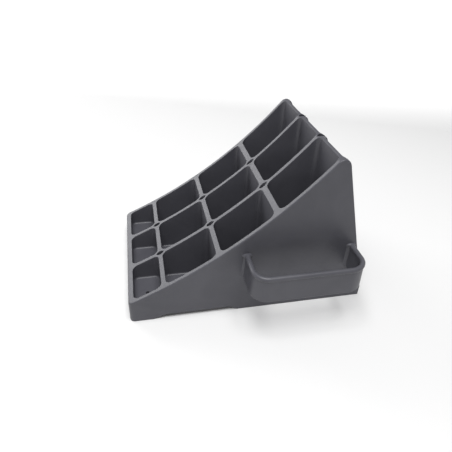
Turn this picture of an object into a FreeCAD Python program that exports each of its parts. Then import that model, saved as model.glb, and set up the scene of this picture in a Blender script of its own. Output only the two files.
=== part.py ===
import FreeCAD, Part
import math
import os
import Sketcher

# Wheel chock moulded in one piece: a wedge with a curved, open-celled tyre face, a level
# carrying handle on one side, and feet under it.  All lengths are in millimetres.
#
# While it is built, x runs from the toe (0) to the heel, y is 0 on the wedge's middle plane
# with the handle on the -Y side, and z is height above the ground.  Each finished piece is
# then placed so that the origin is under the middle of the whole chock.
#
# The moulding and the handle are built whole, and each wall, rib, foot or arm is the part of
# them that lies in its own region, so neighbouring pieces meet face to face.

FreeCAD.newDocument("wheel_chock")
doc = FreeCAD.ActiveDocument

SIZES = [
    ("base_length", 200.0, "toe to heel along the ground"),
    ("body_width", 133.4, "across the wedge, without the handle"),
    ("crest_height", 135.0, "ground to the top of the crest"),
    ("toe_height", 19.0, "ground to the tyre face at the toe"),
    ("heel_height", 11.0, "upright edge at the heel"),
    ("tyre_radius", 435.5, "curve of the tyre face"),
    ("crest_radius", 6.0, "rounding over the crest"),
    ("rear_lean", 16.1, "lean of the rear edges from upright, in degrees"),
    ("toe_corner_radius", 4.0, "upright corners of the toe"),
    ("toe_edge_radius", 1.6, "bottom edge of the toe"),
    ("land_edge_radius", 1.0, "outer edge of the side walls"),
    ("side_wall", 3.8, "thickness of the side walls"),
    ("front_wall", 4.4, "thickness of the toe wall"),
    ("rear_wall", 2.8, "thickness of the wall under the crest"),
    ("rear_wall_lead", 1.9, "inner face of the rear wall ahead of the crest"),
    ("rib", 3.7, "thickness of the ribs"),
    ("toe_cell", 22.6, "length of the short cells behind the toe wall"),
    ("cell_corner", 4.5, "upright corners of the cells"),
    ("core_length", 6.4, "length of the coring hole at a rib crossing"),
    ("core_width", 4.4, "width of the coring hole at a rib crossing"),
    ("drain_diameter", 3.0, "drain hole in each cell floor"),
    ("floor", 4.5, "thickness of the cell floors"),
    ("foot_height", 3.8, "height of the feet below the floor"),
    ("toe_foot", 18.9, "toe to the end of the front foot"),
    ("toe_foot_ramp", 10.0, "slope behind the front foot"),
    ("arch_end", 82.6, "toe to the end of the arch between the feet"),
    ("arch_ramp", 6.2, "slope at the end of the arch"),
    ("foot_rim", 3.8, "width of the rims round the hollow feet"),
    ("foot_corner", 3.0, "upright corners of the hollow feet"),
    ("handle_front", 91.6, "toe to the outside of the handle's front arm"),
    ("handle_rear", 183.2, "toe to the outside of the handle's rear arm"),
    ("handle_reach", 32.0, "how far the handle stands out from the wall"),
    ("handle_bottom", 37.0, "ground to the underside of the handle"),
    ("handle_height", 23.0, "height of the handle band"),
    ("handle_band", 3.7, "thickness of the handle band at its lower edge"),
    ("handle_front_bend", 13.0, "outer radius of the front bend"),
    ("handle_rear_bend", 15.0, "outer radius of the rear bend"),
    ("handle_draft", 2.0, "draft of the handle's outer face, in degrees"),
    ("handle_flare", 2.0, "flare where an arm meets the wall"),
    ("handle_bead", 4.2, "diameter of the round bead along the top"),
    ("handle_edge_radius", 1.0, "lower outer edge of the handle"),
    ("handle_root", 6.0, "how far the arms are drawn into the wall before the cut"),
    ("seam_offset", 0.6, "from the end of a rounded corner to the seam between two pieces"),
    ("region_margin", 1.0, "how far a region reaches past the piece it holds"),
]
VALUE = {alias: number for alias, number, meaning in SIZES}

# Places that follow from the sizes, as expressions on the sheet.
LENGTH = "Sizes.base_length"
HALF_WIDTH = "(Sizes.body_width / 2)"
INNER_HALF = "(Sizes.body_width / 2 - Sizes.side_wall)"
RIB = "Sizes.rib"
CORNER = "Sizes.cell_corner"
MARGIN = "Sizes.region_margin"
FOOT = "Sizes.foot_height"
FLOOR_TOP = "(Sizes.foot_height + Sizes.floor)"
CREST_X = ("(Sizes.base_length"
           " - (Sizes.crest_height - Sizes.crest_radius - Sizes.heel_height) * tan(Sizes.rear_lean)"
           " - Sizes.crest_radius / cos(Sizes.rear_lean))")
REAR_FACE = f"({CREST_X} - Sizes.rear_wall_lead)"
CELL_LENGTH = f"(({REAR_FACE} - Sizes.front_wall - Sizes.toe_cell - 3 * {RIB}) / 3)"
CELL_WIDTH = f"((Sizes.body_width - 2 * Sizes.side_wall - 2 * {RIB}) / 3)"
PITCH_X = f"({CELL_LENGTH} + {RIB})"
PITCH_Y = f"({CELL_WIDTH} + {RIB})"
FIRST_RIB = f"(Sizes.front_wall + Sizes.toe_cell + {RIB} / 2)"
FIRST_CELL = f"({FIRST_RIB} + {RIB} / 2)"
FIRST_COLUMN = f"(-{INNER_HALF})"
RIB_LINE = f"({PITCH_Y} / 2)"
ROUND = "(Sizes.cell_corner + Sizes.seam_offset)"
POST_HALF = f"({RIB} / 2 + {ROUND})"
WALL_INNER = f"({INNER_HALF} - {ROUND})"
ABOVE = "(Sizes.crest_height * 2)"
FRONT_BLOCK = f"(Sizes.front_wall + {ROUND})"
REAR_BLOCK = f"({REAR_FACE} - {ROUND})"
REAR_OUTER = f"({REAR_FACE} + Sizes.rear_wall)"
REAR_BLOCK_END = f"({REAR_OUTER} + {ROUND})"
HANDLE_TOP = "(Sizes.handle_bottom + Sizes.handle_height)"
MID_FOOT_RIM = "(Sizes.arch_end + Sizes.arch_ramp + Sizes.foot_rim)"
TOE_CORE_END = "(Sizes.toe_foot - Sizes.foot_rim)"
HEEL_RIM = "(Sizes.base_length - Sizes.foot_rim)"
MID_FOOT_END = f"({MID_FOOT_RIM} + Sizes.foot_corner + Sizes.seam_offset)"
HEEL_FOOT_START = f"({HEEL_RIM} - Sizes.foot_corner - Sizes.seam_offset)"

SIDES = {"handle_side": -1, "plain_side": 1}


def make_sheet():
    sheet = doc.addObject("Spreadsheet::Sheet", "Sizes")
    for row, (alias, number, meaning) in enumerate(SIZES, start=1):
        sheet.set(f"A{row}", alias)
        sheet.set(f"B{row}", str(number))
        sheet.setAlias(f"B{row}", alias)
        sheet.set(f"C{row}", meaning)
    doc.recompute()


def number(expression):
    """The present value of an expression on the sheet, to start a sketch near its solution."""
    return float(doc.Sizes.evalExpression(expression))


def origin_feature(body, role):
    return next(feature for feature in body.Origin.OriginFeatures if feature.Role == role)


def new_sketch(body, name, role, offset=None):
    sketch = body.newObject("Sketcher::SketchObject", name)
    sketch.AttachmentSupport = [(origin_feature(body, role), "")]
    sketch.MapMode = "FlatFace"
    if offset:
        sketch.setExpression(".AttachmentOffset.Base.z", offset)
    return sketch


def bind(sketch, kind, *places, to):
    """Add a constraint at its present value, then tie it to an expression on the sheet."""
    index = sketch.addConstraint(Sketcher.Constraint(kind, *places, number(to)))
    sketch.setExpression(f"Constraints[{index}]", to)


def pin(sketch, geometry, end, x, y):
    """Hold one end of a sketch element at (x, y)."""
    bind(sketch, "DistanceX", -1, 1, geometry, end, to=x)
    bind(sketch, "DistanceY", -1, 1, geometry, end, to=y)


def point(x, y):
    return FreeCAD.Vector(x, y, 0)


def arc(centre_x, centre_y, radius, start, end):
    circle = Part.Circle(point(centre_x, centre_y), FreeCAD.Vector(0, 0, 1), radius)
    return Part.ArcOfCircle(circle, math.radians(start), math.radians(end))


def rounded_rectangle(sketch, x, y, width, depth, radius):
    """A rectangle with its low corner at (x, y) and all four corners rounded."""
    x0, y0, w, d, r = (number(value) for value in (x, y, width, depth, radius))
    x1, y1 = x0 + w, y0 + d
    lines = [((x0 + r, y0), (x1 - r, y0)), ((x1, y0 + r), (x1, y1 - r)),
             ((x1 - r, y1), (x0 + r, y1)), ((x0, y1 - r), (x0, y0 + r))]
    centres = [(x1 - r, y0 + r, 270), (x1 - r, y1 - r, 0), (x0 + r, y1 - r, 90), (x0 + r, y0 + r, 180)]
    sides = [sketch.addGeometry(Part.LineSegment(point(*a), point(*b))) for a, b in lines]
    corners = [sketch.addGeometry(arc(cx, cy, r, turn, turn + 90)) for cx, cy, turn in centres]
    for i in range(4):
        sketch.addConstraint(Sketcher.Constraint("Tangent", sides[i], 2, corners[i], 1))
        sketch.addConstraint(Sketcher.Constraint("Tangent", corners[i], 2, sides[(i + 1) % 4], 1))
        sketch.addConstraint(Sketcher.Constraint("Horizontal" if i % 2 == 0 else "Vertical", sides[i]))
    for corner in corners[1:]:
        sketch.addConstraint(Sketcher.Constraint("Equal", corners[0], corner))
    bind(sketch, "Radius", corners[0], to=radius)
    bind(sketch, "DistanceY", -1, 1, sides[0], 1, to=y)
    bind(sketch, "DistanceX", -1, 1, sides[3], 1, to=x)
    bind(sketch, "DistanceX", sides[3], 1, sides[1], 1, to=width)
    bind(sketch, "DistanceY", sides[0], 1, sides[2], 1, to=depth)


def rectangle_row(sketch, x, width, radius):
    """Three rounded rectangles side by side, one for each column of cells."""
    for column in range(3):
        rounded_rectangle(sketch, x, f"({FIRST_COLUMN} + {column} * {PITCH_Y})", width, CELL_WIDTH, radius)


def pad(body, name, sketch, length, symmetric=False, taper=None):
    feature = body.newObject("PartDesign::Pad", name)
    feature.Profile = sketch
    feature.setExpression("Length", length)
    if symmetric:
        feature.SideType = "Symmetric"
    if taper:
        feature.setExpression("TaperAngle", taper)
    doc.recompute()
    return feature


def pocket(body, name, sketch, depth=None, upward=True, symmetric=False):
    """Cut a sketch upward, through everything unless a depth is given, and check that it cut."""
    before = body.Shape.Volume
    feature = body.newObject("PartDesign::Pocket", name)
    feature.Profile = sketch
    feature.Reversed = upward
    if symmetric:
        feature.SideType = "Symmetric"
    if depth:
        feature.setExpression("Length", depth)
    else:
        feature.Type = "ThroughAll"
    doc.recompute()
    if body.Shape.Volume > before - 0.1:
        raise RuntimeError(name + " removed nothing")
    return feature


def repeat(body, name, original, count):
    """Repeat a row of cuts towards the heel, one for each cross rib, and check that it cut."""
    pattern = body.newObject("PartDesign::LinearPattern", name)
    pattern.Originals = [original]
    pattern.Direction = (origin_feature(body, "X_Axis"), [""])
    pattern.Mode = "Spacing"
    pattern.Occurrences = count
    pattern.setExpression("Offset", PITCH_X)
    body.Tip = pattern
    before = original.Shape.Volume
    doc.recompute()
    if body.Shape.Volume > before - 0.1:
        raise RuntimeError(name + " repeated nothing")


def round_edges(body, name, chosen, radius):
    """Round every edge of the body for which chosen(edge) is true."""
    base = body.Tip
    names = [f"Edge{i}" for i, edge in enumerate(base.Shape.Edges, start=1) if chosen(edge)]
    fillet = body.newObject("PartDesign::Fillet", name)
    fillet.Base = (base, names)
    fillet.setExpression("Radius", radius)
    doc.recompute()
    return fillet


def side_profile(body):
    """Toe, curved tyre face, rounded crest, leaning rear edge and upright heel."""
    sketch = new_sketch(body, "side_profile", "XZ_Plane")
    length, toe, heel, top = (VALUE[name] for name in ("base_length", "toe_height", "heel_height", "crest_height"))
    crest, tyre, lean = (VALUE[name] for name in ("crest_radius", "tyre_radius", "rear_lean"))
    crest_x = number(CREST_X)
    crest_z = top - crest
    # The tyre face's centre is tyre from the toe's top edge and tyre + crest from the crest's centre.
    gap = math.hypot(crest_x, crest_z - toe)
    along = (tyre ** 2 - (tyre + crest) ** 2 + gap ** 2) / (2 * gap)
    off = math.sqrt(tyre ** 2 - along ** 2)
    ux, uz = crest_x / gap, (crest_z - toe) / gap
    tyre_x, tyre_z = along * ux - off * uz, toe + along * uz + off * ux
    join = math.degrees(math.atan2(crest_z - tyre_z, crest_x - tyre_x))
    toe_turn = math.degrees(math.atan2(toe - tyre_z, -tyre_x))
    rear_x = crest_x + crest * math.cos(math.radians(lean))
    rear_z = crest_z + crest * math.sin(math.radians(lean))
    ground = sketch.addGeometry(Part.LineSegment(point(0, 0), point(length, 0)))
    upright = sketch.addGeometry(Part.LineSegment(point(length, 0), point(length, heel)))
    rear = sketch.addGeometry(Part.LineSegment(point(length, heel), point(rear_x, rear_z)))
    crown = sketch.addGeometry(arc(crest_x, crest_z, crest, lean, join + 180))
    face = sketch.addGeometry(arc(tyre_x, tyre_z, tyre, toe_turn, join))
    front = sketch.addGeometry(Part.LineSegment(point(0, toe), point(0, 0)))
    for kind, *places in [("Coincident", ground, 1, -1, 1), ("Coincident", ground, 2, upright, 1),
                          ("Coincident", upright, 2, rear, 1), ("Tangent", rear, 2, crown, 1),
                          ("Tangent", crown, 2, face, 2), ("Coincident", face, 1, front, 1),
                          ("Coincident", front, 2, ground, 1), ("Horizontal", ground),
                          ("Vertical", upright), ("Vertical", front)]:
        sketch.addConstraint(Sketcher.Constraint(kind, *places))
    bind(sketch, "DistanceX", ground, 1, ground, 2, to=LENGTH)
    bind(sketch, "DistanceY", upright, 1, upright, 2, to="Sizes.heel_height")
    bind(sketch, "DistanceY", -1, 1, front, 1, to="Sizes.toe_height")
    bind(sketch, "Radius", crown, to="Sizes.crest_radius")
    bind(sketch, "Radius", face, to="Sizes.tyre_radius")
    bind(sketch, "DistanceX", -1, 1, crown, 3, to=CREST_X)
    bind(sketch, "DistanceY", -1, 1, crown, 3, to="Sizes.crest_height - Sizes.crest_radius")
    return sketch


def arch_profile(body):
    """The shallow arch that leaves a foot under the toe and a long one under the heel."""
    sketch = new_sketch(body, "arch_profile", "XZ_Plane")
    places = [("Sizes.toe_foot", "0"),
              ("Sizes.toe_foot + Sizes.toe_foot_ramp", FOOT),
              ("Sizes.arch_end", FOOT),
              ("Sizes.arch_end + Sizes.arch_ramp", "0")]
    polygon(sketch, places)
    return sketch


def polygon(sketch, places):
    corners = [point(number(x), number(y)) for x, y in places]
    count = len(corners)
    lines = [sketch.addGeometry(Part.LineSegment(corners[i], corners[(i + 1) % count])) for i in range(count)]
    for i in range(count):
        sketch.addConstraint(Sketcher.Constraint("Coincident", lines[i], 2, lines[(i + 1) % count], 1))
        x, y = places[i]
        pin(sketch, lines[i], 1, x, y)


def lens(sketch, x, y, length, width):
    """A pointed oval centred on (x, y): two equal arcs through its two tips."""
    cx, cy, long_side, short_side = (number(value) for value in (x, y, length, width))
    radius = (long_side ** 2 + short_side ** 2) / (4 * short_side)
    drop = radius - short_side / 2
    spread = math.degrees(math.asin(long_side / 2 / radius))
    upper = sketch.addGeometry(arc(cx, cy - drop, radius, 90 - spread, 90 + spread))
    lower = sketch.addGeometry(arc(cx, cy + drop, radius, 270 - spread, 270 + spread))
    sketch.addConstraint(Sketcher.Constraint("Coincident", upper, 2, lower, 1))
    sketch.addConstraint(Sketcher.Constraint("Coincident", lower, 2, upper, 1))
    pin(sketch, upper, 2, f"{x} - {length} / 2", y)
    pin(sketch, upper, 1, f"{x} + {length} / 2", y)
    curve = f"(({length}) ^ 2 + ({width}) ^ 2) / (4 * {width})"
    bind(sketch, "Radius", upper, to=curve)
    bind(sketch, "Radius", lower, to=curve)


def make_moulding():
    body = doc.addObject("PartDesign::Body", "moulding")
    pad(body, "wedge", side_profile(body), "Sizes.body_width", symmetric=True)
    half, toe = VALUE["body_width"] / 2, VALUE["toe_height"]

    def toe_corner(edge):
        box = edge.BoundBox
        return box.XMax < 0.01 and box.ZLength > toe / 2

    round_edges(body, "toe_corners", toe_corner, "Sizes.toe_corner_radius")

    def toe_bottom(edge):
        box = edge.BoundBox
        return box.ZMax < 0.01 and box.XMax < 0.01

    round_edges(body, "toe_edge", toe_bottom, "Sizes.toe_edge_radius")

    def outer_land(edge):
        box = edge.BoundBox
        on_side = abs(abs(box.YMin) - half) < 0.01 and box.YLength < 0.01
        return on_side and box.ZMax > toe / 2 and box.XMin > VALUE["toe_corner_radius"] / 2

    round_edges(body, "land_edges", outer_land, "Sizes.land_edge_radius")

    pocket(body, "arch", arch_profile(body), "2 * Sizes.body_width", symmetric=True)
    cells = new_sketch(body, "cell_row_outline", "XY_Plane", FLOOR_TOP)
    rectangle_row(cells, FIRST_CELL, CELL_LENGTH, CORNER)
    repeat(body, "cells", pocket(body, "cell_row", cells), 3)
    toe_cells = new_sketch(body, "toe_cells_outline", "XY_Plane", FLOOR_TOP)
    rectangle_row(toe_cells, "Sizes.front_wall", "Sizes.toe_cell", CORNER)
    pocket(body, "toe_cells", toe_cells)
    bays = new_sketch(body, "rear_bays_outline", "XY_Plane", FLOOR_TOP)
    rectangle_row(bays, REAR_OUTER, LENGTH, CORNER)
    pocket(body, "rear_bays", bays)
    cores = new_sketch(body, "core_pair_outline", "XY_Plane", FLOOR_TOP)
    for line in (f"(-{RIB_LINE})", RIB_LINE):
        lens(cores, FIRST_RIB, line, "Sizes.core_length", "Sizes.core_width")
    repeat(body, "cores", pocket(body, "core_pair", cores), 4)

    drill_drains(body)
    core_feet(body)
    return body


def drill_drains(body):
    """A round drain hole in the middle of every cell floor."""
    toe_drains = new_sketch(body, "toe_drains_outline", "XY_Plane", FOOT)
    drain_row(toe_drains, "(Sizes.front_wall + Sizes.toe_cell / 2)")
    pocket(body, "toe_drains", toe_drains, "Sizes.floor")
    drains = new_sketch(body, "drain_row_outline", "XY_Plane", FOOT)
    drain_row(drains, f"({FIRST_CELL} + {CELL_LENGTH} / 2)")
    repeat(body, "drains", pocket(body, "drain_row", drains, "Sizes.floor"), 3)


def drain_row(sketch, x):
    for column in (-1, 0, 1):
        circle(sketch, x, f"({column} * {PITCH_Y})", "Sizes.drain_diameter / 2")


def circle(sketch, x, y, radius):
    ring = Part.Circle(point(number(x), number(y)), FreeCAD.Vector(0, 0, 1), number(radius))
    index = sketch.addGeometry(ring)
    pin(sketch, index, 3, x, y)
    bind(sketch, "Radius", index, to=radius)


def core_feet(body):
    """Hollow the feet from below, leaving rims and skids under the walls and ribs."""
    for name, start, end in [("toe_foot_cores", "Sizes.front_wall", TOE_CORE_END),
                             ("heel_foot_cores", MID_FOOT_RIM, HEEL_RIM)]:
        outline = new_sketch(body, name + "_outline", "XY_Plane")
        rectangle_row(outline, start, f"({end} - {start})", "Sizes.foot_corner")
        pocket(body, name, outline, FOOT)


def handle_loop(sketch, inset, radius_inset, flare):
    """The handle in plan: out along one arm, along the grip and back along the other.

    inset moves the loop in from the handle's outside, and flare turns its ends outward
    (positive) or inward (negative) where the arms meet the wall.  The ends run on into the wall.
    """
    front, rear = f"(Sizes.handle_front + {inset})", f"(Sizes.handle_rear - {inset})"
    wall = f"(-{HALF_WIDTH})"
    inside = f"({wall} + Sizes.handle_root)"
    far = f"({wall} - Sizes.handle_reach + {inset})"
    knee = f"({wall} - Sizes.handle_flare)"
    r_front = f"(Sizes.handle_front_bend - {radius_inset})"
    r_rear = f"(Sizes.handle_rear_bend - {radius_inset})"
    corners = [(f"({front} - {flare})", inside), (f"({front} - {flare})", wall), (front, knee)]
    ends = [(rear, knee), (f"({rear} + {flare})", wall), (f"({rear} + {flare})", inside)]
    fx, rx, fy, rf, rr = (number(value) for value in (front, rear, far, r_front, r_rear))
    first = [point(number(x), number(y)) for x, y in corners]
    last = [point(number(x), number(y)) for x, y in ends]
    shapes = [Part.LineSegment(first[0], first[1]), Part.LineSegment(first[1], first[2]),
              Part.LineSegment(first[2], point(fx, fy + rf)), arc(fx + rf, fy + rf, rf, 180, 270),
              Part.LineSegment(point(fx + rf, fy), point(rx - rr, fy)), arc(rx - rr, fy + rr, rr, 270, 360),
              Part.LineSegment(point(rx, fy + rr), last[0]), Part.LineSegment(last[0], last[1]),
              Part.LineSegment(last[1], last[2]), Part.LineSegment(last[2], first[0])]
    g = [sketch.addGeometry(shape) for shape in shapes]
    for a, b in [(0, 1), (1, 2), (6, 7), (7, 8), (8, 9), (9, 0)]:
        sketch.addConstraint(Sketcher.Constraint("Coincident", g[a], 2, g[b], 1))
    for a, b in [(2, 3), (3, 4), (4, 5), (5, 6)]:
        sketch.addConstraint(Sketcher.Constraint("Tangent", g[a], 2, g[b], 1))
    for i, (x, y) in zip((0, 1, 2), corners):
        pin(sketch, g[i], 1, x, y)
    for i, (x, y) in zip((6, 7, 8), ends):
        pin(sketch, g[i], 2, x, y)
    sketch.addConstraint(Sketcher.Constraint("Vertical", g[2]))
    sketch.addConstraint(Sketcher.Constraint("Vertical", g[6]))
    bind(sketch, "Radius", g[3], to=r_front)
    bind(sketch, "Radius", g[5], to=r_rear)
    bind(sketch, "DistanceY", -1, 1, g[4], 1, to=far)


def bead_path(sketch, inset):
    """The middle line of the bead along the top of the handle."""
    front, rear = f"(Sizes.handle_front + {inset})", f"(Sizes.handle_rear - {inset})"
    inside = f"(-{HALF_WIDTH} + Sizes.handle_root)"
    far = f"(-{HALF_WIDTH} - Sizes.handle_reach + {inset})"
    r_front, r_rear = f"(Sizes.handle_front_bend - {inset})", f"(Sizes.handle_rear_bend - {inset})"
    fx, rx, iy, fy, rf, rr = (number(value) for value in (front, rear, inside, far, r_front, r_rear))
    shapes = [Part.LineSegment(point(fx, iy), point(fx, fy + rf)), arc(fx + rf, fy + rf, rf, 180, 270),
              Part.LineSegment(point(fx + rf, fy), point(rx - rr, fy)), arc(rx - rr, fy + rr, rr, 270, 360),
              Part.LineSegment(point(rx, fy + rr), point(rx, iy))]
    g = [sketch.addGeometry(shape) for shape in shapes]
    for a in range(4):
        sketch.addConstraint(Sketcher.Constraint("Tangent", g[a], 2, g[a + 1], 1))
    sketch.addConstraint(Sketcher.Constraint("Vertical", g[0]))
    sketch.addConstraint(Sketcher.Constraint("Vertical", g[4]))
    pin(sketch, g[0], 1, front, inside)
    pin(sketch, g[4], 2, rear, inside)
    bind(sketch, "Radius", g[1], to=r_front)
    bind(sketch, "Radius", g[3], to=r_rear)
    bind(sketch, "DistanceY", -1, 1, g[2], 1, to=far)


def make_handle():
    body = doc.addObject("PartDesign::Body", "whole_handle")
    outer = new_sketch(body, "handle_outline", "XY_Plane", "Sizes.handle_bottom")
    handle_loop(outer, "0", "0", "Sizes.handle_flare")
    band_height = "Sizes.handle_height - Sizes.handle_bead / 2"
    pad(body, "band", outer, band_height, taper="-Sizes.handle_draft")
    bottom = VALUE["handle_bottom"]
    wall = -VALUE["body_width"] / 2

    def lower_edge(edge):
        box = edge.BoundBox
        return abs(box.ZMax - bottom) < 0.01 and box.YMin < wall - VALUE["handle_flare"] / 2 and box.YMax < wall - 0.01

    round_edges(body, "lower_edge", lower_edge, "Sizes.handle_edge_radius")
    inner = new_sketch(body, "finger_gap_outline", "XY_Plane", "Sizes.handle_bottom")
    handle_loop(inner, "Sizes.handle_band", "Sizes.handle_band", "(-Sizes.handle_flare)")
    pocket(body, "finger_gap", inner)
    path = new_sketch(body, "bead_path", "XY_Plane", f"{HANDLE_TOP} - Sizes.handle_bead / 2")
    bead_path(path, "Sizes.handle_bead / 2")
    section = new_sketch(body, "bead_section", "XZ_Plane", f"{HALF_WIDTH} - Sizes.handle_root")
    circle(section, "(Sizes.handle_front + Sizes.handle_bead / 2)",
           f"({HANDLE_TOP} - Sizes.handle_bead / 2)", "Sizes.handle_bead / 2")
    doc.recompute()
    bead = body.newObject("PartDesign::AdditivePipe", "bead")
    bead.Profile = section
    bead.Spine = (path, [f"Edge{i}" for i in range(1, 6)])
    doc.recompute()
    return body


def piece(name, whole, low, high):
    """One named piece: the part of a whole that lies between two opposite corners."""
    region = doc.addObject("Part::Box", name + "_region")
    for axis, size, start, end in zip("xyz", ("Length", "Width", "Height"), low, high):
        region.setExpression(f"Placement.Base.{axis}", start)
        region.setExpression(size, f"({end}) - ({start})")
    common = doc.addObject("Part::Common", name)
    common.Base = whole
    common.Tool = region
    common.Label = name
    common.setExpression("Placement.Base.x", f"-{LENGTH} / 2")
    common.setExpression("Placement.Base.y", "Sizes.handle_reach / 2")
    return common


def across(side, inner, outer):
    """A span of y between two distances from the middle plane, on one side of it."""
    if side < 0:
        return f"(-({outer}))", f"(-({inner}))"
    return inner, outer


def make_pieces(moulding, handle):
    pieces = []
    beyond = f"({LENGTH} + {MARGIN})"
    before = f"(-{MARGIN})"
    below = f"(-{MARGIN})"

    def add(name, x, y, z):
        pieces.append(piece(name, moulding, (x[0], y[0], z[0]), (x[1], y[1], z[1])))

    middle = (f"(-{WALL_INNER})", WALL_INNER)
    standing = (FLOOR_TOP, ABOVE)
    rib_half = f"({RIB} / 2 + {MARGIN})"
    post_line_inner = f"({RIB_LINE} - {POST_HALF})"
    post_line_outer = f"({RIB_LINE} + {POST_HALF})"

    add("front_wall", (before, FRONT_BLOCK), middle, (below, ABOVE))
    add("rear_wall", (REAR_BLOCK, REAR_BLOCK_END), middle, standing)
    add("cell_floor", (FRONT_BLOCK, beyond), middle, (FOOT, FLOOR_TOP))
    add("front_foot", (FRONT_BLOCK, f"Sizes.arch_end - {MARGIN}"), middle, (below, FOOT))
    add("middle_foot", ("Sizes.arch_end", MID_FOOT_END), middle, (below, FOOT))
    add("heel_foot", (HEEL_FOOT_START, beyond), middle, (below, FOOT))
    for side_name, side in SIDES.items():
        line = across(side, f"{RIB_LINE} - {rib_half}", f"{RIB_LINE} + {rib_half}")
        posts = across(side, post_line_inner, post_line_outer)
        add(f"side_wall_{side_name}", (before, beyond), across(side, WALL_INNER, f"{HALF_WIDTH} + {MARGIN}"),
            (below, ABOVE))
        add(f"skid_{side_name}", (MID_FOOT_END, HEEL_FOOT_START), line, (below, FOOT))
        add(f"rear_buttress_{side_name}", (REAR_BLOCK_END, beyond), line, standing)
        starts = [FRONT_BLOCK]
        for row in range(3):
            rib_x = f"({FIRST_RIB} + {row} * {PITCH_X})"
            add(f"crossing_post_{row + 1}_{side_name}", (f"{rib_x} - {POST_HALF}", f"{rib_x} + {POST_HALF}"),
                posts, standing)
            add(f"cross_rib_{row + 1}_{side_name}", (f"{rib_x} - {rib_half}", f"{rib_x} + {rib_half}"),
                across(side, post_line_outer, WALL_INNER), standing)
            add(f"long_rib_{row + 1}_{side_name}", (starts[-1], f"{rib_x} - {POST_HALF}"), line, standing)
            starts.append(f"{rib_x} + {POST_HALF}")
        add(f"long_rib_4_{side_name}", (starts[-1], REAR_BLOCK), line, standing)
    for row in range(3):
        rib_x = f"({FIRST_RIB} + {row} * {PITCH_X})"
        add(f"cross_rib_{row + 1}_middle", (f"{rib_x} - {rib_half}", f"{rib_x} + {rib_half}"),
            (f"(-{post_line_inner})", post_line_inner), standing)

    reach = (f"(-{HALF_WIDTH} - Sizes.handle_reach - {MARGIN})", f"(-{HALF_WIDTH})")
    tall = (f"Sizes.handle_bottom - {MARGIN}", f"{HANDLE_TOP} + {MARGIN}")
    bend_front = "(Sizes.handle_front + Sizes.handle_front_bend)"
    bend_rear = "(Sizes.handle_rear - Sizes.handle_rear_bend)"
    spans = {"handle_front_arm": (f"Sizes.handle_front - 2 * Sizes.handle_flare - {MARGIN}", bend_front),
             "handle_grip": (bend_front, bend_rear),
             "handle_rear_arm": (bend_rear, f"Sizes.handle_rear + 2 * Sizes.handle_flare + {MARGIN}")}
    for name, span in spans.items():
        pieces.append(piece(name, handle, (span[0], reach[0], tall[0]), (span[1], reach[1], tall[1])))
    return pieces


def check_and_write(pieces):
    doc.recompute()
    failed = [item.Name for item in doc.Objects if "Invalid" in item.State or "Error" in item.State]
    if failed:
        raise RuntimeError("failed objects: " + ", ".join(failed))
    for item in pieces:
        if item.Shape.isNull() or not item.Shape.isValid() or not item.Shape.Solids:
            raise RuntimeError(item.Label + " has no valid solid")
    os.makedirs("parts", exist_ok=True)
    for item in pieces:
        item.Shape.exportStep(f"parts/{item.Label}.step")
        print(f"{item.Label}: {len(item.Shape.Solids)} solid, {item.Shape.Volume:.0f} mm3")


make_sheet()
check_and_write(make_pieces(make_moulding(), make_handle()))
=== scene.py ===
import math

import bpy
from bpy.props import FloatProperty, FloatVectorProperty, PointerProperty
from mathutils import Matrix, Vector


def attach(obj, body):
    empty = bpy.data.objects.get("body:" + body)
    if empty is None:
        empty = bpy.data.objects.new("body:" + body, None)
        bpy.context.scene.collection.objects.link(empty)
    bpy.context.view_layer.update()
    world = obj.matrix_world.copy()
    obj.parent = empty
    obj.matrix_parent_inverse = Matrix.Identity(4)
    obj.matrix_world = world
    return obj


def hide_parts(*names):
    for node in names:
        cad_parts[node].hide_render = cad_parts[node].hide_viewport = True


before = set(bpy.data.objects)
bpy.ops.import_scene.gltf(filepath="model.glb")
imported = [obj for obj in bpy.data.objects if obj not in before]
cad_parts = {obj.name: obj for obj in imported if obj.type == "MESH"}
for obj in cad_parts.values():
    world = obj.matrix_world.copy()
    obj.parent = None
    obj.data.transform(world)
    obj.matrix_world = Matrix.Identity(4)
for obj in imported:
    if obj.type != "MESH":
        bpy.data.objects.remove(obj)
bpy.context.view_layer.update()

bl_info = {
    "name": "Moulded Wheel Chock",
    "version": (1, 0, 0),
    "blender": (4, 5, 0),
    "location": "3D View > Sidebar > Chock",
    "description": "A one-piece moulded wheel chock with an open-celled tyre face and a side handle",
    "category": "Add Mesh",
}

# Places nearer than this, in metres, are the same place.
CLOSE = 1e-6
# Points that the cuts leave nearer than this are joined before the edges are rounded.
CUT_SLACK = 1e-5
# Edges that turn by more than this are sharp: they get rounded, and are not shaded smooth.
SHARP_ANGLE = math.radians(32)
# From the end of the cells' corners to the seams between the pieces.
SEAM_OFFSET = 0.0006
# Each bend of the handle is a quarter turn, seen from above, that takes -Y to +X and +X to +Y.
BEND_TURN = -math.pi / 2
# Rings of the fillet at each root of the handle.
FLARE_STEPS = 4
SIDES = ("handle_side", "plain_side")
# The nodes of the frame that each piece of the wedge stands for, and those of the handle.
WEDGE_NODES = {
    "side_wall_handle": ["side_wall_handle_side"],
    "side_wall_plain": ["side_wall_plain_side"],
    "toe_wall": ["front_wall"],
    "rib_grid": (["cell_floor", "front_foot", "middle_foot"]
                 + [f"skid_{side}" for side in SIDES]
                 + [f"crossing_post_{i}_{side}" for i in (1, 2, 3) for side in SIDES]
                 + [f"cross_rib_{i}_{span}" for i in (1, 2, 3) for span in SIDES + ("middle",)]
                 + [f"long_rib_{i}_{side}" for i in (1, 2, 3, 4) for side in SIDES]),
    "back_wall": ["rear_wall", "heel_foot"] + [f"rear_buttress_{side}" for side in SIDES],
}
HANDLE_NODES = ["handle_front_arm", "handle_grip", "handle_rear_arm"]

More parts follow.
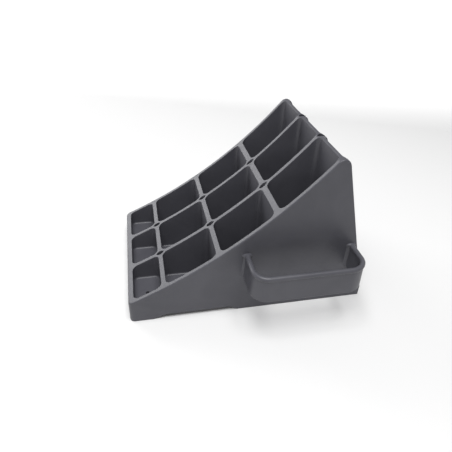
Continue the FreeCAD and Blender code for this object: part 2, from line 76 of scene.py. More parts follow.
# x runs from the toe to the heel and z is height. The handle is on the -Y side, so the wedge's
# middle plane lies half the handle's reach to the +Y side of the origin.


def length(name, default, description):
    return FloatProperty(name=name, description=description, default=default, min=0.0,
                         unit="LENGTH", subtype="DISTANCE", precision=5)


def angle(name, degrees, description):
    return FloatProperty(name=name, description=description, default=math.radians(degrees),
                         unit="ROTATION", subtype="ANGLE")


def linear(hex_colour):
    """An sRGB hex colour as linear red, green, blue and alpha."""
    def channel(value):
        return value / 12.92 if value <= 0.04045 else ((value + 0.055) / 1.055) ** 2.4
    parts = [int(hex_colour[i:i + 2], 16) / 255 for i in (1, 3, 5)]
    return tuple(channel(value) for value in parts) + (1.0,)


class ChockSizes(bpy.types.PropertyGroup):
    """Sizes of the wedge, its cells and its feet."""
    base_length: length("Base length", 0.200, "Toe to heel along the ground")
    width: length("Width", 0.1334, "Across the wedge, without the handle")
    crest_height: length("Crest height", 0.135, "Ground to the top of the crest")
    toe_height: length("Toe height", 0.019, "Ground to the tyre face at the toe")
    heel_height: length("Heel height", 0.011, "Upright edge at the heel")
    tyre_radius: length("Tyre radius", 0.4355, "Curve of the tyre face")
    crest_radius: length("Crest radius", 0.006, "Rounding over the crest")
    rear_lean: angle("Rear lean", 16.1, "Lean of the rear edges from upright")
    toe_corner: length("Toe corner", 0.004, "Rounding of the toe's upright corners")
    toe_edge: length("Toe edge", 0.0016, "Rounding of the toe's bottom edge")
    land_edge: length("Land edge", 0.001, "Rounding of the side walls' outer edge")
    soft_edge: length("Soft edge", 0.00045, "Rounding of every other edge")
    side_wall: length("Side wall", 0.0038, "Thickness of the side walls")
    front_wall: length("Front wall", 0.0044, "Thickness of the toe wall")
    rear_wall: length("Rear wall", 0.0028, "Thickness of the wall under the crest")
    rear_wall_lead: length("Rear wall lead", 0.0019, "Rear wall's inner face ahead of the crest")
    rib: length("Rib", 0.0037, "Thickness of the ribs")
    toe_cell: length("Toe cell", 0.0226, "Length of the short cells at the toe")
    cell_corner: length("Cell corner", 0.0045, "Upright corners of the cells")
    cell_cove: length("Cell cove", 0.0016, "Cove between the walls and the cell floors")
    core_length: length("Core length", 0.0064, "Length of the coring hole at a rib crossing")
    core_width: length("Core width", 0.0044, "Width of the coring hole at a rib crossing")
    drain: length("Drain", 0.003, "Diameter of the drain hole in each cell")
    floor: length("Floor", 0.0045, "Thickness of the cell floors")
    foot_height: length("Foot height", 0.0038, "Height of the feet below the floor")
    toe_foot: length("Toe foot", 0.0189, "Toe to the end of the front foot")
    toe_foot_ramp: length("Toe foot ramp", 0.010, "Slope behind the front foot")
    arch_end: length("Arch end", 0.0826, "Toe to the end of the arch between the feet")
    arch_ramp: length("Arch ramp", 0.0062, "Slope at the end of the arch")
    foot_rim: length("Foot rim", 0.0038, "Rims round the hollow feet")
    foot_corner: length("Foot corner", 0.003, "Upright corners of the hollow feet")
    foot_cove: length("Foot cove", 0.0008, "Cove round the top of the feet's hollows")


class HandleSizes(bpy.types.PropertyGroup):
    """Sizes of the carrying handle."""
    front: length("Front", 0.0916, "Toe to the outside of the front arm")
    rear: length("Rear", 0.1832, "Toe to the outside of the rear arm")
    reach: length("Reach", 0.032, "How far the handle stands out from the wall")
    bottom: length("Bottom", 0.037, "Ground to the underside")
    height: length("Height", 0.023, "Height of the band")
    band: length("Band", 0.0037, "Thickness of the band")
    front_bend: length("Front bend", 0.013, "Outer radius of the front bend")
    rear_bend: length("Rear bend", 0.015, "Outer radius of the rear bend")
    draft: angle("Draft", 2.0, "Lean of the band's outer face")
    flare: length("Flare", 0.002, "Fillet where an arm meets the wall")
    bead: length("Bead", 0.0042, "Diameter of the round bead along the top")
    lower_edge: length("Lower edge", 0.001, "Rounding of the outer lower edge")
    inner_edge: length("Inner edge", 0.0005, "Rounding of the inner lower edge")
    root: length("Root", 0.0012, "How far the arms run into the wall")


def colour(name, hex_colour, description):
    return FloatVectorProperty(name=name, description=description, default=linear(hex_colour)[:3],
                               subtype="COLOR", size=3, min=0.0, max=1.0)


def factor(name, default, description):
    return FloatProperty(name=name, description=description, default=default, min=0.0, max=1.0)


def strength(name, default, description):
    return FloatProperty(name=name, description=description, default=default, min=0.0)


class PlasticFinish(bpy.types.PropertyGroup):
    """Colour, gloss and texture of the moulded plastic."""
    dark_tone: colour("Dark tone", "#4A4A50", "Darker clouds of the charcoal grey")
    light_tone: colour("Light tone", "#525258", "Lighter clouds of the charcoal grey")
    gloss_low: factor("Lowest roughness", 0.34, "Roughness where the grain is worn smooth")
    gloss_high: factor("Highest roughness", 0.46, "Roughness where the grain is sharp")
    cloud: length("Cloud", 0.030, "Size of the clouds of tone and gloss")
    drag_width: length("Drag mark width", 0.0016, "Width of the upright drag marks")
    drag_length: length("Drag mark length", 0.060, "Length of the upright drag marks")
    drag_depth: length("Drag mark depth", 0.00005, "Depth of the upright drag marks")
    grain: length("Grain", 0.00045, "Size of the grain, drawn coarser than life")
    grain_depth: length("Grain depth", 0.00004, "Depth of the grain")


class StudioLook(bpy.types.PropertyGroup):
    """Paper and lights of the studio."""
    paper: colour("Paper", "#E2E2E2", "Colour of the paper floor")
    paper_size: length("Paper size", 8.0, "Side of the square paper floor")
    sky: strength("Sky", 0.32, "Strength of the even light from all round")
    overhead: strength("Overhead softbox", 18.0, "Watts of the softbox above the chock")
    back: strength("Back softbox", 8.8, "Watts of the softbox behind the chock")
    backdrop: strength("Backdrop softbox", 110.0, "Watts of the softbox that lights the far paper")


def sizes():
    return bpy.context.scene.chock_sizes


def handle_sizes():
    return bpy.context.scene.chock_handle


def from_toe(distance):
    """The x of a place this far behind the toe."""
    return distance - sizes().base_length / 2


def middle():
    """The y of the wedge's middle plane."""
    return handle_sizes().reach / 2


def deselect():
    if bpy.context.mode != "OBJECT":
        bpy.ops.object.mode_set(mode="OBJECT")
    bpy.ops.object.select_all(action="DESELECT")


def edit(piece, kind):
    """Open a piece in edit mode with nothing selected in it."""
    deselect()
    piece.select_set(True)
    bpy.context.view_layer.objects.active = piece
    bpy.ops.object.mode_set(mode="EDIT")
    bpy.ops.mesh.select_mode(type=kind)
    bpy.ops.mesh.select_all(action="DESELECT")


def select_edges(piece, chosen):
    """Select the edges for which chosen(one end, other end) is true."""
    edit(piece, "EDGE")
    bpy.ops.object.mode_set(mode="OBJECT")
    mesh = piece.data
    for edge in mesh.edges:
        edge.select = chosen(*(mesh.vertices[i].co for i in edge.vertices))
    bpy.ops.object.mode_set(mode="EDIT")


def bevel(radius, segments):
    bpy.ops.mesh.bevel(offset=radius, offset_type="OFFSET", segments=segments, profile=0.5,
                       affect="EDGES", clamp_overlap=False)


def add_block(name, low, high):
    """A box between two opposite corners, with its place in its mesh."""
    deselect()
    low, high = Vector(low), Vector(high)
    bpy.ops.mesh.primitive_cube_add(size=1, location=(low + high) / 2, scale=high - low)
    block = bpy.context.object
    block.name = name
    bpy.ops.object.transform_apply(location=True, rotation=True, scale=True)
    return block


def rounded_block(name, low, high, corner, end=None, cove=0.0):
    """A box with rounded upright corners, and a rounded edge round its end at one height."""
    block = add_block(name, low, high)
    select_edges(block, lambda a, b: abs(a.z - b.z) > CLOSE)
    bevel(corner, 6)
    if cove:
        select_edges(block, lambda a, b: abs(a.z - end) < CLOSE and abs(b.z - end) < CLOSE)
        bevel(cove, 4)
    deselect()
    return block


def apply_modifier(piece, kind, **settings):
    deselect()
    piece.select_set(True)
    bpy.context.view_layer.objects.active = piece
    bpy.ops.object.modifier_add(type=kind)
    modifier = piece.modifiers[-1]
    for name, value in settings.items():
        setattr(modifier, name, value)
    bpy.ops.object.modifier_apply(modifier=modifier.name)


def repeat(piece, count, step):
    """Copy a piece in a straight row."""
    apply_modifier(piece, "ARRAY", count=count, use_relative_offset=False,
                   use_constant_offset=True, constant_offset_displace=step)


def join(name, pieces):
    """Make one mesh of several, without cutting them where they cross."""
    deselect()
    for piece in pieces:
        piece.select_set(True)
    bpy.context.view_layer.objects.active = pieces[0]
    bpy.ops.object.join()
    pieces[0].name = name
    return pieces[0]


def combine(piece, tool, operation):
    """Cut a piece with a tool, or keep what they share, and remove the tool."""
    apply_modifier(piece, "BOOLEAN", object=tool, operation=operation, solver="EXACT")
    bpy.data.objects.remove(tool)


def start_line(name, place):
    """A new mesh of one point, open in edit mode, from which an outline is drawn."""
    deselect()
    bpy.ops.mesh.primitive_plane_add(size=0.01, location=place)
    drawn = bpy.context.object
    drawn.name = name
    bpy.ops.object.transform_apply(location=True, rotation=True, scale=True)
    bpy.ops.object.mode_set(mode="EDIT")
    bpy.ops.mesh.select_mode(type="VERT")
    bpy.ops.mesh.select_all(action="SELECT")
    bpy.ops.mesh.merge(type="CENTER")
    return drawn


def line_by(step):
    bpy.ops.mesh.extrude_vertices_move(TRANSFORM_OT_translate={"value": step})


def arc_about(centre, turn, steps):
    """Turn the line's end about an axis along Y. A positive turn goes from +X towards +Z."""
    bpy.ops.mesh.spin(steps=steps, angle=turn, center=centre, axis=(0, 1, 0))


def arc_through(centre, start, stops):
    """Turn the line's end from one angle through others, with the steps that each stop asks for."""
    for stop, steps in stops:
        arc_about(centre, stop - start, steps)
        start = stop


def close_outline():
    bpy.ops.mesh.select_all(action="SELECT")
    bpy.ops.mesh.remove_doubles(threshold=CLOSE)
    bpy.ops.mesh.edge_face_add()


class WedgeShape:
    """Places on the side profile that follow from the sizes, measured from the toe."""

    def __init__(self, chock):
        self.crest_z = chock.crest_height - chock.crest_radius
        self.crest_x = (chock.base_length - (self.crest_z - chock.heel_height) * math.tan(chock.rear_lean)
                        - chock.crest_radius / math.cos(chock.rear_lean))
        self.inner_face = self.crest_x - chock.rear_wall_lead
        self.outer_face = self.inner_face + chock.rear_wall
        self.cell_length = (self.inner_face - chock.front_wall - chock.toe_cell - 3 * chock.rib) / 3
        self.cell_width = (chock.width - 2 * chock.side_wall - 2 * chock.rib) / 3
        self.pitch_x = self.cell_length + chock.rib
        self.pitch_y = self.cell_width + chock.rib
        self.first_cell = chock.front_wall + chock.toe_cell + chock.rib
        self.floor_top = chock.foot_height + chock.floor
        # The tyre face's centre is one radius from the toe's top edge, and one radius and the
        # crest's from the crest's centre.
        far = chock.tyre_radius + chock.crest_radius
        gap = math.hypot(self.crest_x, self.crest_z - chock.toe_height)
        along = (chock.tyre_radius ** 2 - far ** 2 + gap ** 2) / (2 * gap)
        off = math.sqrt(chock.tyre_radius ** 2 - along ** 2)
        ux, uz = self.crest_x / gap, (self.crest_z - chock.toe_height) / gap
        self.tyre_x = along * ux - off * uz
        self.tyre_z = chock.toe_height + along * uz + off * ux
        self.join = math.atan2(self.crest_z - self.tyre_z, self.crest_x - self.tyre_x)
        self.toe_turn = math.atan2(chock.toe_height - self.tyre_z, -self.tyre_x)

    def crest_stops(self, chock):
        """Angles round the crest, from the back. Both faces of the rear wall fall in the middle of
        a step, so that their edges can be rounded."""
        outer, inner = (math.acos((face - self.crest_x) / chock.crest_radius)
                        for face in (self.outer_face, self.inner_face))
        half_step = math.radians(7.5)
        return ((outer - half_step, 3), (outer + half_step, 1), (inner - half_step, 3),
                (inner + half_step, 1), (self.join + math.pi, 2))

    def tyre_stops(self, chock):
        """Angles down the tyre face, from the crest, with a stop on each rib's middle line."""
        first_rib = chock.front_wall + chock.toe_cell + chock.rib / 2
        ribs = [first_rib + i * self.pitch_x for i in (2, 1, 0)]
        turns = [-math.acos((x - self.tyre_x) / chock.tyre_radius) for x in ribs]
        return tuple(zip(turns + [self.toe_turn], (9, 10, 10, 5)))


def draw_wedge(chock, shape):
    """The wedge without its cells: the side profile drawn out, filled and drawn across."""
    low = middle() - chock.width / 2
    wedge = start_line("wedge", (from_toe(0), low, 0))
    line_by((chock.base_length, 0, 0))
    line_by((0, 0, chock.heel_height))
    lean_x, lean_z = math.sin(chock.rear_lean), math.cos(chock.rear_lean)
    rear_x = shape.crest_x + chock.crest_radius * lean_z
    rear_z = shape.crest_z + chock.crest_radius * lean_x
    line_by((rear_x - chock.base_length, 0, rear_z - chock.heel_height))
    arc_through((from_toe(shape.crest_x), low, shape.crest_z), chock.rear_lean, shape.crest_stops(chock))
    arc_through((from_toe(shape.tyre_x), low, shape.tyre_z), shape.join, shape.tyre_stops(chock))
    close_outline()
    bpy.ops.mesh.extrude_region_move(TRANSFORM_OT_translate={"value": (0, chock.width, 0)})
    bpy.ops.mesh.select_all(action="SELECT")
    bpy.ops.mesh.normals_make_consistent(inside=False)
    return wedge


def round_wedge(wedge, chock):
    """Round the toe's upright corners and bottom edge, and the side walls' outer edges."""
    toe, low, high = from_toe(0), middle() - chock.width / 2, middle() + chock.width / 2

    def toe_corner(a, b):
        return abs(a.x - toe) < CLOSE and abs(b.x - toe) < CLOSE and abs(a.z - b.z) > chock.toe_height / 2

    def toe_bottom(a, b):
        return max(a.z, b.z) < CLOSE and max(a.x, b.x) < toe + CLOSE

    def land_edge(a, b):
        along_side = any(abs(a.y - side) < CLOSE and abs(b.y - side) < CLOSE for side in (low, high))
        if along_side:
            return min(a.z, b.z) > (chock.heel_height if min(a.x, b.x) > 0 else chock.toe_height) - CLOSE
        over_toe = min(a.z, b.z) > chock.toe_height - CLOSE and max(a.x, b.x) < toe + chock.toe_corner + CLOSE
        return over_toe and (abs(a.y - b.y) < chock.toe_corner or max(a.x, b.x) < toe + CLOSE)

    select_edges(wedge, toe_corner)
    bevel(chock.toe_corner, 8)
    select_edges(wedge, toe_bottom)
    bevel(chock.toe_edge, 4)
    select_edges(wedge, land_edge)
    bevel(chock.land_edge, 4)
    deselect()


def cell_row(name, chock, shape, start, span, corner, low_z, high_z, cove, end):
    """Three rounded blocks side by side, one for each column of cells."""
    first = middle() - chock.width / 2 + chock.side_wall
    row = rounded_block(name, (from_toe(start), first, low_z),
                        (from_toe(start + span), first + shape.cell_width, high_z), corner, end, cove)
    repeat(row, 3, (0, shape.pitch_y, 0))
    return row


def cut_cells(wedge, chock, shape):
    """Open the cells and the rear bays down to the floor."""
    above = chock.crest_height * 1.2
    floor = shape.floor_top
    cells = cell_row("cells", chock, shape, shape.first_cell, shape.cell_length, chock.cell_corner,
                     floor, above, chock.cell_cove, floor)
    repeat(cells, 3, (shape.pitch_x, 0, 0))
    toe_cells = cell_row("toe_cells", chock, shape, chock.front_wall, chock.toe_cell, chock.cell_corner,
                         floor, above, chock.cell_cove, floor)
    bays = cell_row("rear_bays", chock, shape, shape.outer_face, chock.base_length, chock.cell_corner,
                    floor, above, chock.cell_cove, floor)
    combine(wedge, join("openings", [cells, toe_cells, bays]), "DIFFERENCE")


def cut_coring_holes(wedge, chock, shape):
    """Core each rib crossing with a pointed oval: two cylinders and what they share."""
    radius = (chock.core_length ** 2 + chock.core_width ** 2) / (4 * chock.core_width)
    off = radius - chock.core_width / 2
    x = from_toe(chock.front_wall + chock.toe_cell + chock.rib / 2)
    y = middle() - shape.pitch_y / 2
    depth = chock.crest_height
    halves = []
    for side in (-1, 1):
        deselect()
        bpy.ops.mesh.primitive_cylinder_add(vertices=64, radius=radius, depth=depth,
                                            location=(x, y + side * off, shape.floor_top + depth / 2))
        bpy.ops.object.transform_apply(location=True, rotation=True, scale=True)
        halves.append(bpy.context.object)
    combine(halves[0], halves[1], "INTERSECT")
    holes = halves[0]
    repeat(holes, 2, (0, shape.pitch_y, 0))
    repeat(holes, 4, (shape.pitch_x, 0, 0))
    combine(wedge, holes, "DIFFERENCE")


def drill_drains(wedge, chock, shape):
    """A round hole in the middle of every cell floor. It stops at the feet."""
    rows = []
    for start, span, count in ((chock.front_wall, chock.toe_cell, 1),
                               (shape.first_cell, shape.cell_length, 3)):
        deselect()
        bpy.ops.mesh.primitive_cylinder_add(vertices=24, radius=chock.drain / 2, depth=chock.floor * 2,
                                            location=(from_toe(start + span / 2), middle() - shape.pitch_y,
                                                      chock.foot_height + chock.floor))
        bpy.ops.object.transform_apply(location=True, rotation=True, scale=True)
        row = bpy.context.object
        repeat(row, 3, (0, shape.pitch_y, 0))
        repeat(row, count, (shape.pitch_x, 0, 0))
        rows.append(row)
    combine(wedge, join("drains", rows), "DIFFERENCE")


def shape_feet(wedge, chock, shape):
    """Leave a foot under the toe and a long one under the heel, both hollow from below."""
    low, high = middle() - chock.width, middle() + chock.width
    below = -chock.foot_height
    arch = add_block("arch", (from_toe(chock.toe_foot + chock.toe_foot_ramp), low, below),
                     (from_toe(chock.arch_end), high, chock.foot_height))
    # The block's low ends are drawn outwards to the slopes, which run on at the same lean.
    for x, ramp in ((from_toe(chock.toe_foot + chock.toe_foot_ramp), -chock.toe_foot_ramp),
                    (from_toe(chock.arch_end), chock.arch_ramp)):
        select_edges(arch, lambda a, b: max(a.z, b.z) < 0 and abs(a.x - x) < CLOSE and abs(b.x - x) < CLOSE)
        bpy.ops.transform.translate(value=(ramp * 2, 0, 0))
    rim_start = chock.arch_end + chock.arch_ramp + chock.foot_rim
    cores = [cell_row("feet", chock, shape, start, span, chock.foot_corner, below, chock.foot_height,
                      chock.foot_cove, chock.foot_height)
             for start, span in ((chock.front_wall, chock.toe_foot - chock.foot_rim - chock.front_wall),
                                 (rim_start, chock.base_length - chock.foot_rim - rim_start))]
    combine(wedge, join("arch_and_cores", [arch] + cores), "DIFFERENCE")


def soften(wedge, chock, shape):
    """Round every edge that is still sharp, other than the mouths of the coring holes."""
    first_x = from_toe(chock.front_wall + chock.toe_cell + chock.rib / 2)
    crossings = [(first_x + i * shape.pitch_x, middle() + side * shape.pitch_y / 2)
                 for i in range(4) for side in (-1, 1)]
    half_length, half_width = chock.core_length / 2 + CUT_SLACK, chock.core_width / 2 + CUT_SLACK

    def in_hole(place):
        return any(abs(place.x - x) < half_length and abs(place.y - y) < half_width for x, y in crossings)

    edit(wedge, "EDGE")
    bpy.ops.mesh.select_all(action="SELECT")
    bpy.ops.mesh.remove_doubles(threshold=CUT_SLACK)
    bpy.ops.mesh.select_all(action="DESELECT")
    bpy.ops.mesh.edges_select_sharp(sharpness=SHARP_ANGLE)
    bpy.ops.object.mode_set(mode="OBJECT")
    mesh = wedge.data
    for edge in mesh.edges:
        if all(in_hole(mesh.vertices[i].co) for i in edge.vertices):
            edge.select = False
    bpy.ops.object.mode_set(mode="EDIT")
    bevel(chock.soft_edge, 2)
    bpy.ops.mesh.select_all(action="SELECT")
    bpy.ops.mesh.delete_loose(use_verts=True, use_edges=True, use_faces=False)
    deselect()


def smooth(piece):
    """Shade the roundings smooth and keep the flat faces flat."""
    deselect()
    piece.select_set(True)
    bpy.context.view_layer.objects.active = piece
    bpy.ops.object.shade_smooth_by_angle(angle=SHARP_ANGLE)
    apply_modifier(piece, "WEIGHTED_NORMAL", keep_sharp=True, mode="FACE_AREA", weight=50)


def trim(piece, place, normal):
    """Cut off what lies beyond a plane and close the cut."""
    edit(piece, "FACE")
    bpy.ops.mesh.select_all(action="SELECT")
    bpy.ops.mesh.bisect(plane_co=place, plane_no=normal, use_fill=True, clear_outer=True, threshold=CLOSE)
    deselect()


def copy(piece, name):
    deselect()
    piece.select_set(True)
    bpy.context.view_layer.objects.active = piece
    bpy.ops.object.duplicate()
    twin = bpy.context.object
    twin.name = name
    return twin


def split_wedge(wedge, chock, shape):
    """Part the finished wedge into its two side walls, its toe, its rib grid and its back.

    The seams are upright and lie where the rounded corners of the cells have ended, so they
    cross only flat walls and floors."""
    wall_seam = chock.width / 2 - chock.side_wall - chock.cell_corner - SEAM_OFFSET
    toe_seam = from_toe(chock.front_wall + chock.cell_corner + SEAM_OFFSET)
    back_seam = from_toe(shape.inner_face - chock.cell_corner - SEAM_OFFSET)
    low, high = (0, middle() - wall_seam, 0), (0, middle() + wall_seam, 0)
    toe, back = (toe_seam, 0, 0), (back_seam, 0, 0)
    parts = {
        "side_wall_handle": [(low, (0, 1, 0))],
        "side_wall_plain": [(high, (0, -1, 0))],
        "toe_wall": [(low, (0, -1, 0)), (high, (0, 1, 0)), (toe, (1, 0, 0))],
        "rib_grid": [(low, (0, -1, 0)), (high, (0, 1, 0)), (toe, (-1, 0, 0)), (back, (1, 0, 0))],
        "back_wall": [(low, (0, -1, 0)), (high, (0, 1, 0)), (back, (-1, 0, 0))],
    }
    made = {}
    for name, planes in parts.items():
        made[name] = copy(wedge, name)
        for place, normal in planes:
            trim(made[name], place, normal)
    bpy.data.objects.remove(wedge)
    return made


class CHOCK_OT_wedge(bpy.types.Operator):
    """Model the wedge with its cells, coring holes, drains and feet"""
    bl_idname = "chock.wedge"
    bl_label = "Wedge"

    def execute(self, context):
        chock = sizes()
        shape = WedgeShape(chock)
        wedge = draw_wedge(chock, shape)
        round_wedge(wedge, chock)
        cut_cells(wedge, chock, shape)
        shape_feet(wedge, chock, shape)
        drill_drains(wedge, chock, shape)
        cut_coring_holes(wedge, chock, shape)
        soften(wedge, chock, shape)
        for name, part in split_wedge(wedge, chock, shape).items():
            finish_piece(part, WEDGE_NODES[name])
        return {"FINISHED"}


def handle_section(grip, front, wall_y):
    """The band's cross-section where the front arm leaves the wall: a loop of edges, open in
    edit mode. It has a rounded lower edge, a leaning outer face and a round bead on top."""
    lean, lean_cos = math.sin(grip.draft), math.cos(grip.draft)
    bead = grip.bead / 2
    bead_x, bead_z = bead, grip.height - bead
    edge_x = grip.lower_edge * (1 + lean) / lean_cos
    # Where the leaning outer face and the upright inner face run into the bead.
    slope = lean / lean_cos
    a, b = 1 + slope ** 2, -2 * (bead_x * slope + bead_z)
    outer_z = (-b - math.sqrt(b * b - 4 * a * (bead_x ** 2 + bead_z ** 2 - bead ** 2))) / (2 * a)
    inner_z = bead_z - math.sqrt(bead ** 2 - (grip.band - bead_x) ** 2)
    outer_turn = math.atan2(outer_z - bead_z, outer_z * slope - bead_x) % (2 * math.pi)
    inner_turn = math.atan2(inner_z - bead_z, grip.band - bead_x)

    def at(x, z):
        return (from_toe(front + x), wall_y, grip.bottom + z)

    section = start_line("carrying_handle", at(edge_x, 0))
    line_by((grip.band - grip.inner_edge - edge_x, 0, 0))
    arc_about(at(grip.band - grip.inner_edge, grip.inner_edge), math.pi / 2, 4)
    line_by((0, 0, inner_z - grip.inner_edge))
    arc_about(at(bead_x, bead_z), outer_turn - inner_turn, 24)
    down_to = grip.lower_edge * (1 + lean)
    line_by(((down_to - outer_z) * slope, 0, down_to - outer_z))
    arc_about(at(edge_x, grip.lower_edge), math.pi / 2 + grip.draft, 6)
    bpy.ops.mesh.select_all(action="SELECT")
    bpy.ops.mesh.remove_doubles(threshold=2 * CLOSE)
    bpy.ops.mesh.select_all(action="SELECT")
    return section


def sweep_by(step):
    bpy.ops.mesh.extrude_region_move(TRANSFORM_OT_translate={"value": step})


def bend_about(x, y, steps):
    """Swing the band's end a quarter turn, seen from above, towards the heel and then the wall."""
    bpy.ops.mesh.spin(steps=steps, angle=BEND_TURN, center=(x, y, 0), axis=(0, 0, 1))


class CHOCK_OT_handle(bpy.types.Operator):
    """Draw the band's section and sweep it along one arm, the grip and the other arm"""
    bl_idname = "chock.handle"
    bl_label = "Handle"

    def execute(self, context):
        grip = handle_sizes()
        wall = middle() - sizes().width / 2
        root = wall + grip.root
        far = wall - grip.reach
        handle = handle_section(grip, grip.front, root)
        sweep_by((0, wall - grip.flare - root, 0))
        sweep_by((0, far + grip.front_bend - (wall - grip.flare), 0))
        bend_about(from_toe(grip.front) + grip.front_bend, far + grip.front_bend, 14)
        sweep_by((grip.rear - grip.rear_bend - grip.front - grip.front_bend, 0, 0))
        bend_about(from_toe(grip.rear) - grip.rear_bend, far + grip.rear_bend, 14)
        sweep_by((0, wall - grip.flare - (far + grip.rear_bend), 0))
        sweep_by((0, root - (wall - grip.flare), 0))
        close_roots(handle, root)
        flare_roots(handle, grip, wall)
        finish_piece(handle, HANDLE_NODES)
        return {"FINISHED"}


def close_roots(handle, root):
    """Fill the two open ends, which lie inside the wall, and turn all faces outwards."""
    middle_x = (from_toe(handle_sizes().front) + from_toe(handle_sizes().rear)) / 2
    for side in (-1, 1):
        select_edges(handle, lambda a, b: abs(a.y - root) < CLOSE and abs(b.y - root) < CLOSE
                     and (a.x - middle_x) * side > 0)
        bpy.ops.mesh.edge_face_add()
    bpy.ops.mesh.select_all(action="SELECT")
    bpy.ops.mesh.normals_make_consistent(inside=False)
    deselect()


def flare_roots(handle, grip, wall):
    """Widen each arm into a fillet where it meets the wall."""
    for centre_x in (from_toe(grip.front) + grip.band / 2, from_toe(grip.rear) - grip.band / 2):
        for i in range(FLARE_STEPS):
            turn = math.pi / 2 * i / FLARE_STEPS
            place = (0, wall - grip.flare * math.sin(turn), 0)
            edit(handle, "VERT")
            bpy.ops.mesh.select_all(action="SELECT")
            bpy.ops.mesh.bisect(plane_co=place, plane_no=(0, 1, 0), threshold=CLOSE / 10)
        for i in range(FLARE_STEPS):
            turn = math.pi / 2 * i / FLARE_STEPS
            at_wall = wall - grip.flare * math.sin(turn)
            widening = 1 + 2 * grip.flare * (1 - math.cos(math.pi / 2 - turn)) / grip.band
            edit(handle, "VERT")
            bpy.ops.object.mode_set(mode="OBJECT")
            for vertex in handle.data.vertices:
                near = abs(vertex.co.x - centre_x) < grip.band * 1.5
                here = abs(vertex.co.y - at_wall) < CLOSE or (i == 0 and vertex.co.y > wall)
                vertex.select = near and here
            bpy.ops.object.mode_set(mode="EDIT")
            bpy.ops.transform.resize(value=(widening, 1, 1), center_override=(centre_x, at_wall, 0))
    deselect()


def finish_piece(piece, nodes):
    """Smooth a piece, give it its material, hang it under the root body and hide the parts of the frame that
    it stands for.
    """
    smooth(piece)
    piece.data.materials.clear()
    piece.data.materials.append(polypropylene())
    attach(piece, "root")
    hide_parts(*nodes)


def add_node(tree, kind, inputs=None, **settings):
    """Add a node, set its properties, and set or link its inputs."""
    node = tree.nodes.new(kind)
    for name, value in settings.items():
        setattr(node, name, value)
    for name, value in (inputs or {}).items():
        if isinstance(value, bpy.types.NodeSocket):
            tree.links.new(value, node.inputs[name])
        else:
            node.inputs[name].default_value = value
    return node


def polypropylene():
    """Injection-moulded polypropylene, coloured right through with carbon black.

    A spark-eroded mould gives it a fine matt grain with a satin gloss, the melt leaves broad
    clouds of slightly different tone and gloss, and the walls carry faint upright drag marks from
    being pushed out of the mould."""
    name = "moulded_polypropylene"
    if name in bpy.data.materials:
        return bpy.data.materials[name]
    finish = bpy.context.scene.chock_finish
    material = bpy.data.materials.new(name)
    material.use_nodes = True
    tree = material.node_tree
    tree.nodes.clear()
    place = add_node(tree, "ShaderNodeTexCoord").outputs["Object"]

    # Clouds of tone and gloss.
    clouds = add_node(tree, "ShaderNodeTexNoise", {"Vector": place, "Scale": 1 / finish.cloud, "Detail": 3.0,
                                                   "Roughness": 0.55, "Distortion": 0.6})
    cloud_range = add_node(tree, "ShaderNodeMapRange", {"Value": clouds.outputs["Fac"], "From Min": 0.3,
                                                        "From Max": 0.7})
    tone = add_node(tree, "ShaderNodeMix", {"Factor": cloud_range.outputs["Result"]}, data_type="RGBA")
    tone.inputs["A"].default_value = tuple(finish.dark_tone) + (1.0,)
    tone.inputs["B"].default_value = tuple(finish.light_tone) + (1.0,)

    # Drag marks: narrow across the walls and long up them.
    slenderness = finish.drag_width / finish.drag_length
    stretch = add_node(tree, "ShaderNodeMapping", {"Vector": place, "Scale": (1.0, 1.0, slenderness)})
    drag = add_node(tree, "ShaderNodeTexNoise", {"Vector": stretch.outputs["Vector"],
                                                 "Scale": 1 / finish.drag_width, "Detail": 2.0})
    gloss_mix = add_node(tree, "ShaderNodeMath", {0: clouds.outputs["Fac"], 1: drag.outputs["Fac"]},
                         operation="ADD")
    gloss = add_node(tree, "ShaderNodeMapRange", {"Value": gloss_mix.outputs["Value"], "From Min": 0.7,
                                                  "From Max": 1.3, "To Min": finish.gloss_low,
                                                  "To Max": finish.gloss_high})

    # The mould's grain is about 0.1 mm, too fine to show, so it is drawn coarser.
    grain = add_node(tree, "ShaderNodeTexNoise", {"Vector": place, "Scale": 1 / finish.grain, "Detail": 2.0,
                                                  "Roughness": 0.6})
    grain_bump = add_node(tree, "ShaderNodeBump", {"Height": grain.outputs["Fac"], "Strength": 0.35,
                                                   "Distance": finish.grain_depth})
    drag_bump = add_node(tree, "ShaderNodeBump", {"Height": drag.outputs["Fac"], "Strength": 0.25,
                                                  "Distance": finish.drag_depth,
                                                  "Normal": grain_bump.outputs["Normal"]})
    shader = add_node(tree, "ShaderNodeBsdfPrincipled", {
        "Base Color": tone.outputs["Result"], "Roughness": gloss.outputs["Result"], "Metallic": 0.0,
        "IOR": 1.49, "Specular IOR Level": 0.42, "Normal": drag_bump.outputs["Normal"]})
    add_node(tree, "ShaderNodeOutputMaterial", {"Surface": shader.outputs["BSDF"]})
    return material


class CHOCK_OT_stage(bpy.types.Operator):
    """Add the floor, the soft lights and the camera"""
    bl_idname = "chock.stage"
    bl_label = "Stage"

    def execute(self, context):
        scene = context.scene
        look = scene.chock_studio
        scene.view_settings.view_transform = "Standard"
        world = bpy.data.worlds.new("studio")
        scene.world = world
        world.use_nodes = True
        sky = world.node_tree.nodes["Background"]
        sky.inputs["Color"].default_value = linear("#FFFFFF")
        sky.inputs["Strength"].default_value = look.sky
        add_paper(look)
        chock_middle = (0, 0, 0.05)
        add_light("overhead_softbox", (-0.1, -0.3, 1.25), chock_middle, size=0.8, power=look.overhead)
        add_light("back_softbox", (-0.75, 1.1, 0.55), chock_middle, size=0.9, power=look.back)
        add_light("backdrop_softbox", (0.4, 1.3, 1.3), (1.1, 3.0, 0), size=1.6, power=look.backdrop)
        add_camera()
        return {"FINISHED"}


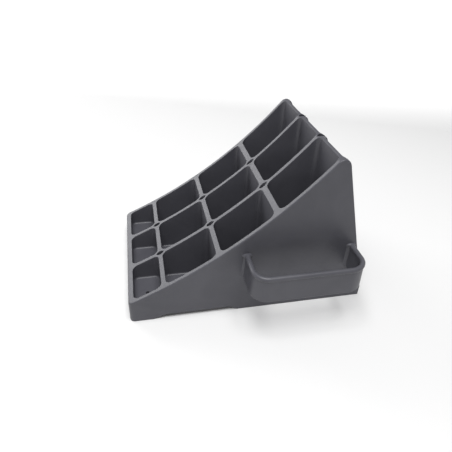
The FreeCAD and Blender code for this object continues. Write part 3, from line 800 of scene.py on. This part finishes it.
def add_paper(look):
    """A plain sheet of matt white paper under the chock."""
    deselect()
    bpy.ops.mesh.primitive_plane_add(size=look.paper_size)
    floor = bpy.context.object
    floor.name = "studio_floor"
    material = bpy.data.materials.new("matt_white_paper")
    material.use_nodes = True
    shader = material.node_tree.nodes["Principled BSDF"]
    shader.inputs["Base Color"].default_value = tuple(look.paper) + (1.0,)
    shader.inputs["Roughness"].default_value = 0.9
    floor.data.materials.append(material)


def add_light(name, place, aim, size, power):
    """A square softbox that faces the place it's aimed at."""
    deselect()
    bpy.ops.object.light_add(type="AREA", location=place)
    light = bpy.context.object
    light.name = name
    light.data.size = size
    light.data.energy = power
    light.rotation_euler = (Vector(aim) - Vector(place)).to_track_quat("-Z", "Y").to_euler()


def add_camera():
    """A camera in front of the toe and the handle, looking down at the chock."""
    place = (-0.079551, -0.292534, 0.260966)
    heading, look_down, roll = -12.9387, 34.945, 2.5603
    deselect()
    bpy.ops.object.camera_add()
    camera = bpy.context.object
    camera.data.lens = 33.21
    camera.data.sensor_width = 36
    camera.data.dof.use_dof = False
    turn = (Matrix.Rotation(math.radians(heading), 4, "Z")
            @ Matrix.Rotation(math.radians(90 - look_down), 4, "X")
            @ Matrix.Rotation(math.radians(roll), 4, "Z"))
    camera.matrix_world = Matrix.Translation(place) @ turn
    camera.data.clip_start = 0.01
    bpy.context.scene.camera = camera


class CHOCK_PT_panel(bpy.types.Panel):
    """Lists the steps and the sizes"""
    bl_idname = "CHOCK_PT_panel"
    bl_label = "Wheel Chock"
    bl_space_type = "VIEW_3D"
    bl_region_type = "UI"
    bl_category = "Chock"

    def draw(self, context):
        layout = self.layout
        for item in OPERATORS:
            layout.operator(item.bl_idname)
        scene = context.scene
        for group in (scene.chock_sizes, scene.chock_handle, scene.chock_finish, scene.chock_studio):
            box = layout.box()
            for name in group.__annotations__:
                box.prop(group, name)


OPERATORS = (CHOCK_OT_wedge, CHOCK_OT_handle, CHOCK_OT_stage)
CLASSES = (ChockSizes, HandleSizes, PlasticFinish, StudioLook) + OPERATORS + (CHOCK_PT_panel,)


def register():
    for item in CLASSES:
        bpy.utils.register_class(item)
    bpy.types.Scene.chock_sizes = PointerProperty(type=ChockSizes)
    bpy.types.Scene.chock_handle = PointerProperty(type=HandleSizes)
    bpy.types.Scene.chock_finish = PointerProperty(type=PlasticFinish)
    bpy.types.Scene.chock_studio = PointerProperty(type=StudioLook)


def unregister():
    del bpy.types.Scene.chock_studio
    del bpy.types.Scene.chock_finish
    del bpy.types.Scene.chock_handle
    del bpy.types.Scene.chock_sizes
    for item in reversed(CLASSES):
        bpy.utils.unregister_class(item)


def main():
    register()
    bpy.ops.chock.wedge()
    bpy.ops.chock.handle()
    bpy.ops.chock.stage()


if __name__ == "__main__":
    main()
